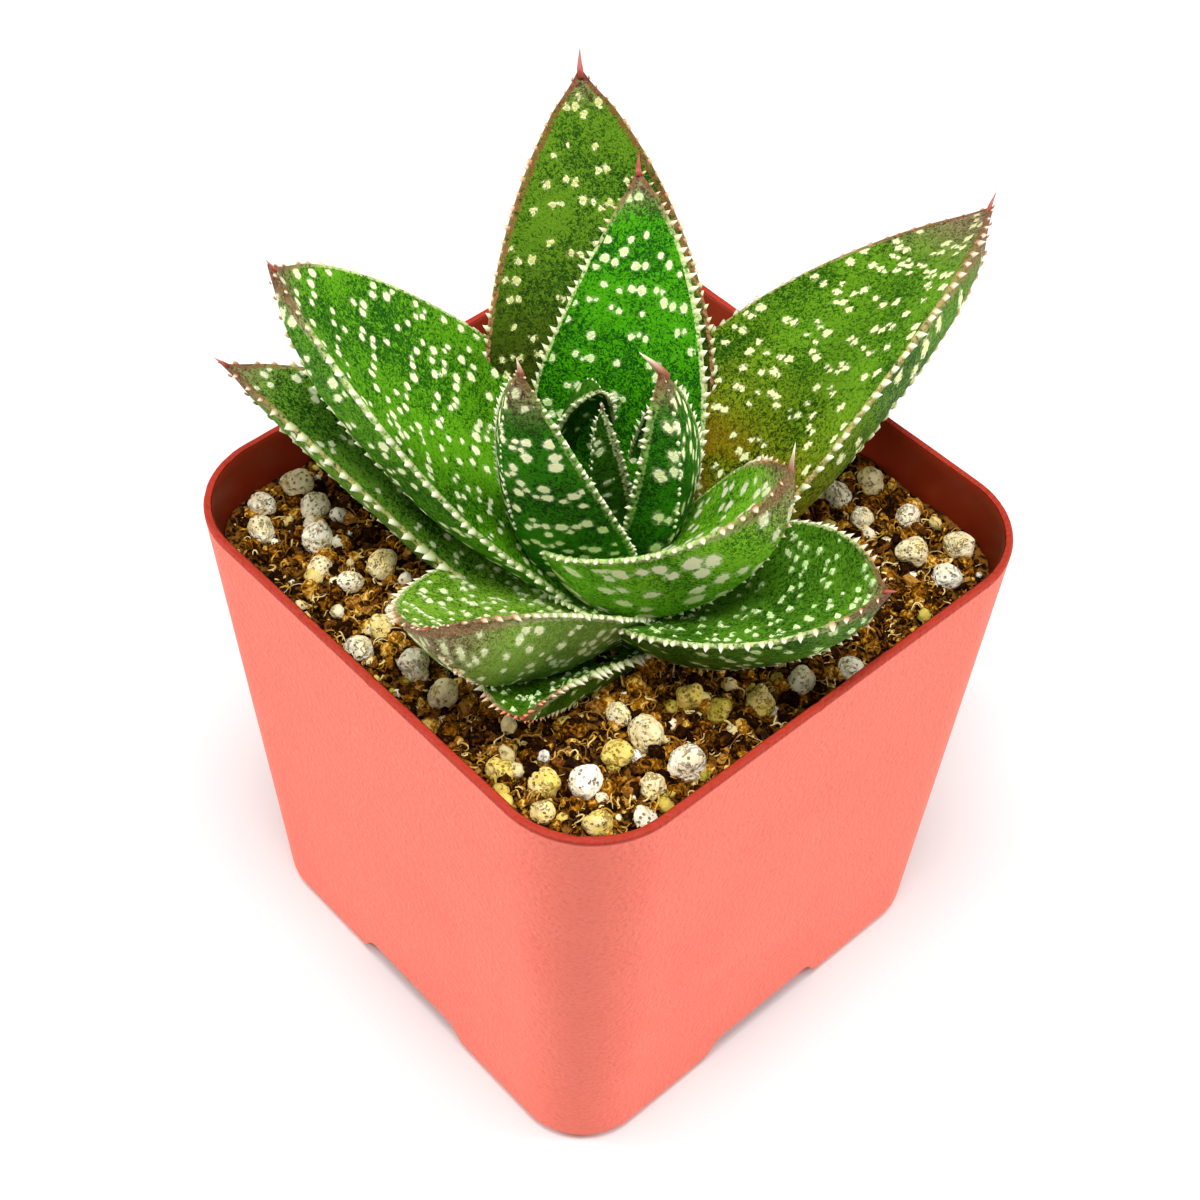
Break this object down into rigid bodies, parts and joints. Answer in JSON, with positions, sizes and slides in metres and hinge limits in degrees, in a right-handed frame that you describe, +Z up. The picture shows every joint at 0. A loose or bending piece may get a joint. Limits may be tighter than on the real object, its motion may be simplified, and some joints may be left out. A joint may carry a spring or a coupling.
{
  "type": "potted aloe plant",
  "caption": "Small rosette of thick, spotted, toothed succulent leaves growing in gritty soil in a square tapered plastic nursery pot.",
  "frame": {"origin": "centre of the pot's flat underside", "axes": "+Z up out of the pot; X and Y parallel to the pot's sides, with the corner between +X and -Y towards the viewer"},
  "size_m": [0.0617, 0.0735, 0.0881],
  "materials": {
    "pot_plastic": "coral red moulded polypropylene, fine orange-peel grain outside, glossier inside",
    "soil_mix": "dark brown peat and bark compost with fine fibres",
    "root_bark": "dry pale brown root skin",
    "leaf_skin": "waxy deep green succulent skin with cream spots, horny pale teeth and mauve tips",
    "perlite": "expanded volcanic glass grains, white to straw, porous and matt"
  },
  "bodies": {
    "root": {"pot": "pot_plastic", "soil": "soil_mix", "stem_and_roots": "root_bark", "leaf_heart_spear": "leaf_skin", "leaf_heart_hooded": "leaf_skin", "leaf_heart_small": "leaf_skin", "leaf_inner_right": "leaf_skin", "leaf_inner_left": "leaf_skin", "leaf_centre_tall": "leaf_skin", "leaf_front_sweeping": "leaf_skin", "leaf_back_tall": "leaf_skin", "leaf_right_low": "leaf_skin", "leaf_front_left": "leaf_skin", "leaf_left_upper": "leaf_skin", "leaf_right_large": "leaf_skin", "leaf_left_lower": "leaf_skin", "leaf_front_low": "leaf_skin", "perlite_01": "perlite", "perlite_02": "perlite", "perlite_03": "perlite", "perlite_04": "perlite", "perlite_05": "perlite", "perlite_06": "perlite", "perlite_07": "perlite", "perlite_08": "perlite", "perlite_09": "perlite", "perlite_10": "perlite", "perlite_11": "perlite", "perlite_12": "perlite", "perlite_13": "perlite", "perlite_14": "perlite", "perlite_15": "perlite", "perlite_16": "perlite", "perlite_17": "perlite", "perlite_18": "perlite", "perlite_19": "perlite", "perlite_20": "perlite", "perlite_21": "perlite", "perlite_22": "perlite", "perlite_23": "perlite", "perlite_24": "perlite", "perlite_25": "perlite", "perlite_26": "perlite", "perlite_27": "perlite", "perlite_28": "perlite", "perlite_29": "perlite", "perlite_30": "perlite", "perlite_31": "perlite", "perlite_32": "perlite", "perlite_33": "perlite", "perlite_34": "perlite", "perlite_35": "perlite", "perlite_36": "perlite", "perlite_37": "perlite", "perlite_38": "perlite"}
  },
  "joints": []
}
